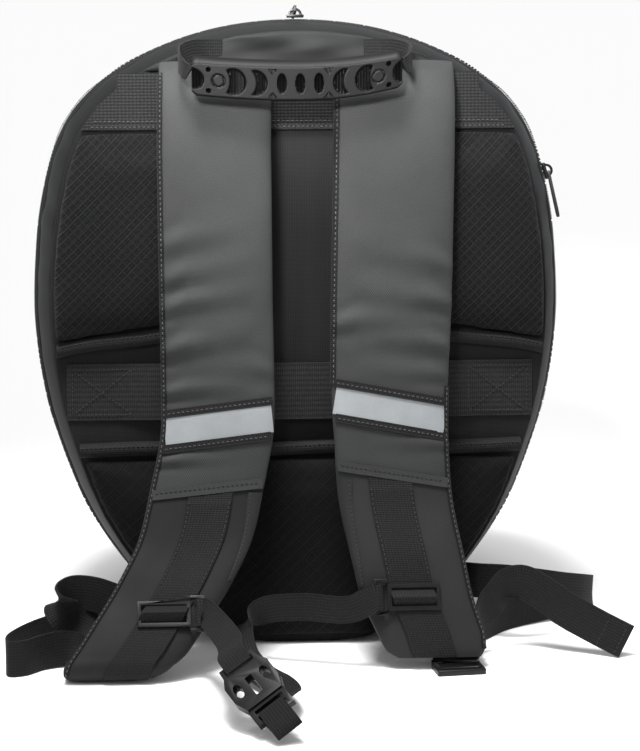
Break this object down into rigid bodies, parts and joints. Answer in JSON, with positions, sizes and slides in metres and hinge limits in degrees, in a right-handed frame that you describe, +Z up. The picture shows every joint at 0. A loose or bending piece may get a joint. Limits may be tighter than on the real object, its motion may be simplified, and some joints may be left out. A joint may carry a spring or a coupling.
{
  "type": "helmet backpack",
  "caption": "Hard-fronted backpack for a full-face helmet with padded shoulder straps, quilted mesh back pads, a chest strap and a moulded carry handle.",
  "frame": {"origin": "on the floor under the middle of the flat moulded base, midway between the sides", "axes": "+Z up, harness side towards -Y, shell bulges towards +Y, +X to the right when looking at the harness"},
  "size_m": [0.4401, 0.5135, 0.4507],
  "materials": {
    "twill": "matt coated twill",
    "shell": "textured laminate over moulded foam",
    "mesh": "quilted spacer mesh",
    "webbing": "ribbed woven webbing",
    "binding": "stitched binding",
    "reflective": "reflective tape",
    "plastic": "moulded",
    "grip": "moulded soft grip",
    "zip": "woven zip tape",
    "metal": "black painted"
  },
  "bodies": {
    "bag": {"front_shell": "shell", "zip_band": "zip", "back_gusset": "twill", "back_panel": "mesh", "top_yoke": "twill", "top_webbing": "webbing", "upper_pad_left": "mesh", "upper_pad_right": "mesh", "lower_pad": "mesh", "upper_binding_left": "binding", "upper_binding_right": "binding", "lower_binding": "binding", "luggage_strap": "webbing", "shoulder_strap_left": "twill", "shoulder_strap_right": "twill", "reflective_strip_left": "reflective", "reflective_strip_right": "reflective", "strap_webbing_left": "webbing", "strap_webbing_right": "webbing", "adjuster_left": "plastic", "adjuster_right": "plastic", "buckle_socket": "plastic", "buckle_plug": "plastic", "chest_webbing_left": "webbing", "chest_webbing_right": "webbing", "ladder_lock_left": "plastic", "ladder_lock_right": "plastic", "lower_webbing_left": "webbing", "lower_webbing_right": "webbing", "tail_webbing_left": "webbing", "tail_webbing_right": "webbing", "handle_grip": "grip", "handle_webbing_left": "webbing", "handle_webbing_right": "webbing", "zip_slider_top": "metal", "zip_slider_side": "metal"},
    "top_pull": {"zip_pull_top": "zip"},
    "side_pull": {"zip_pull_side": "zip"}
  },
  "joints": [
    {"name": "top_pull_swing", "type": "hinge", "parent": "bag", "child": "top_pull", "pos_m": [0, -0.01297, 0.44771], "axis": [1, 0, 0], "range_deg": [0, 100]},
    {"name": "side_pull_swing", "type": "hinge", "parent": "bag", "child": "side_pull", "pos_m": [0.18162, -0.02314, 0.33145], "axis": [0, -0.9962, 0.0872], "range_deg": [0, 75]}
  ]
}
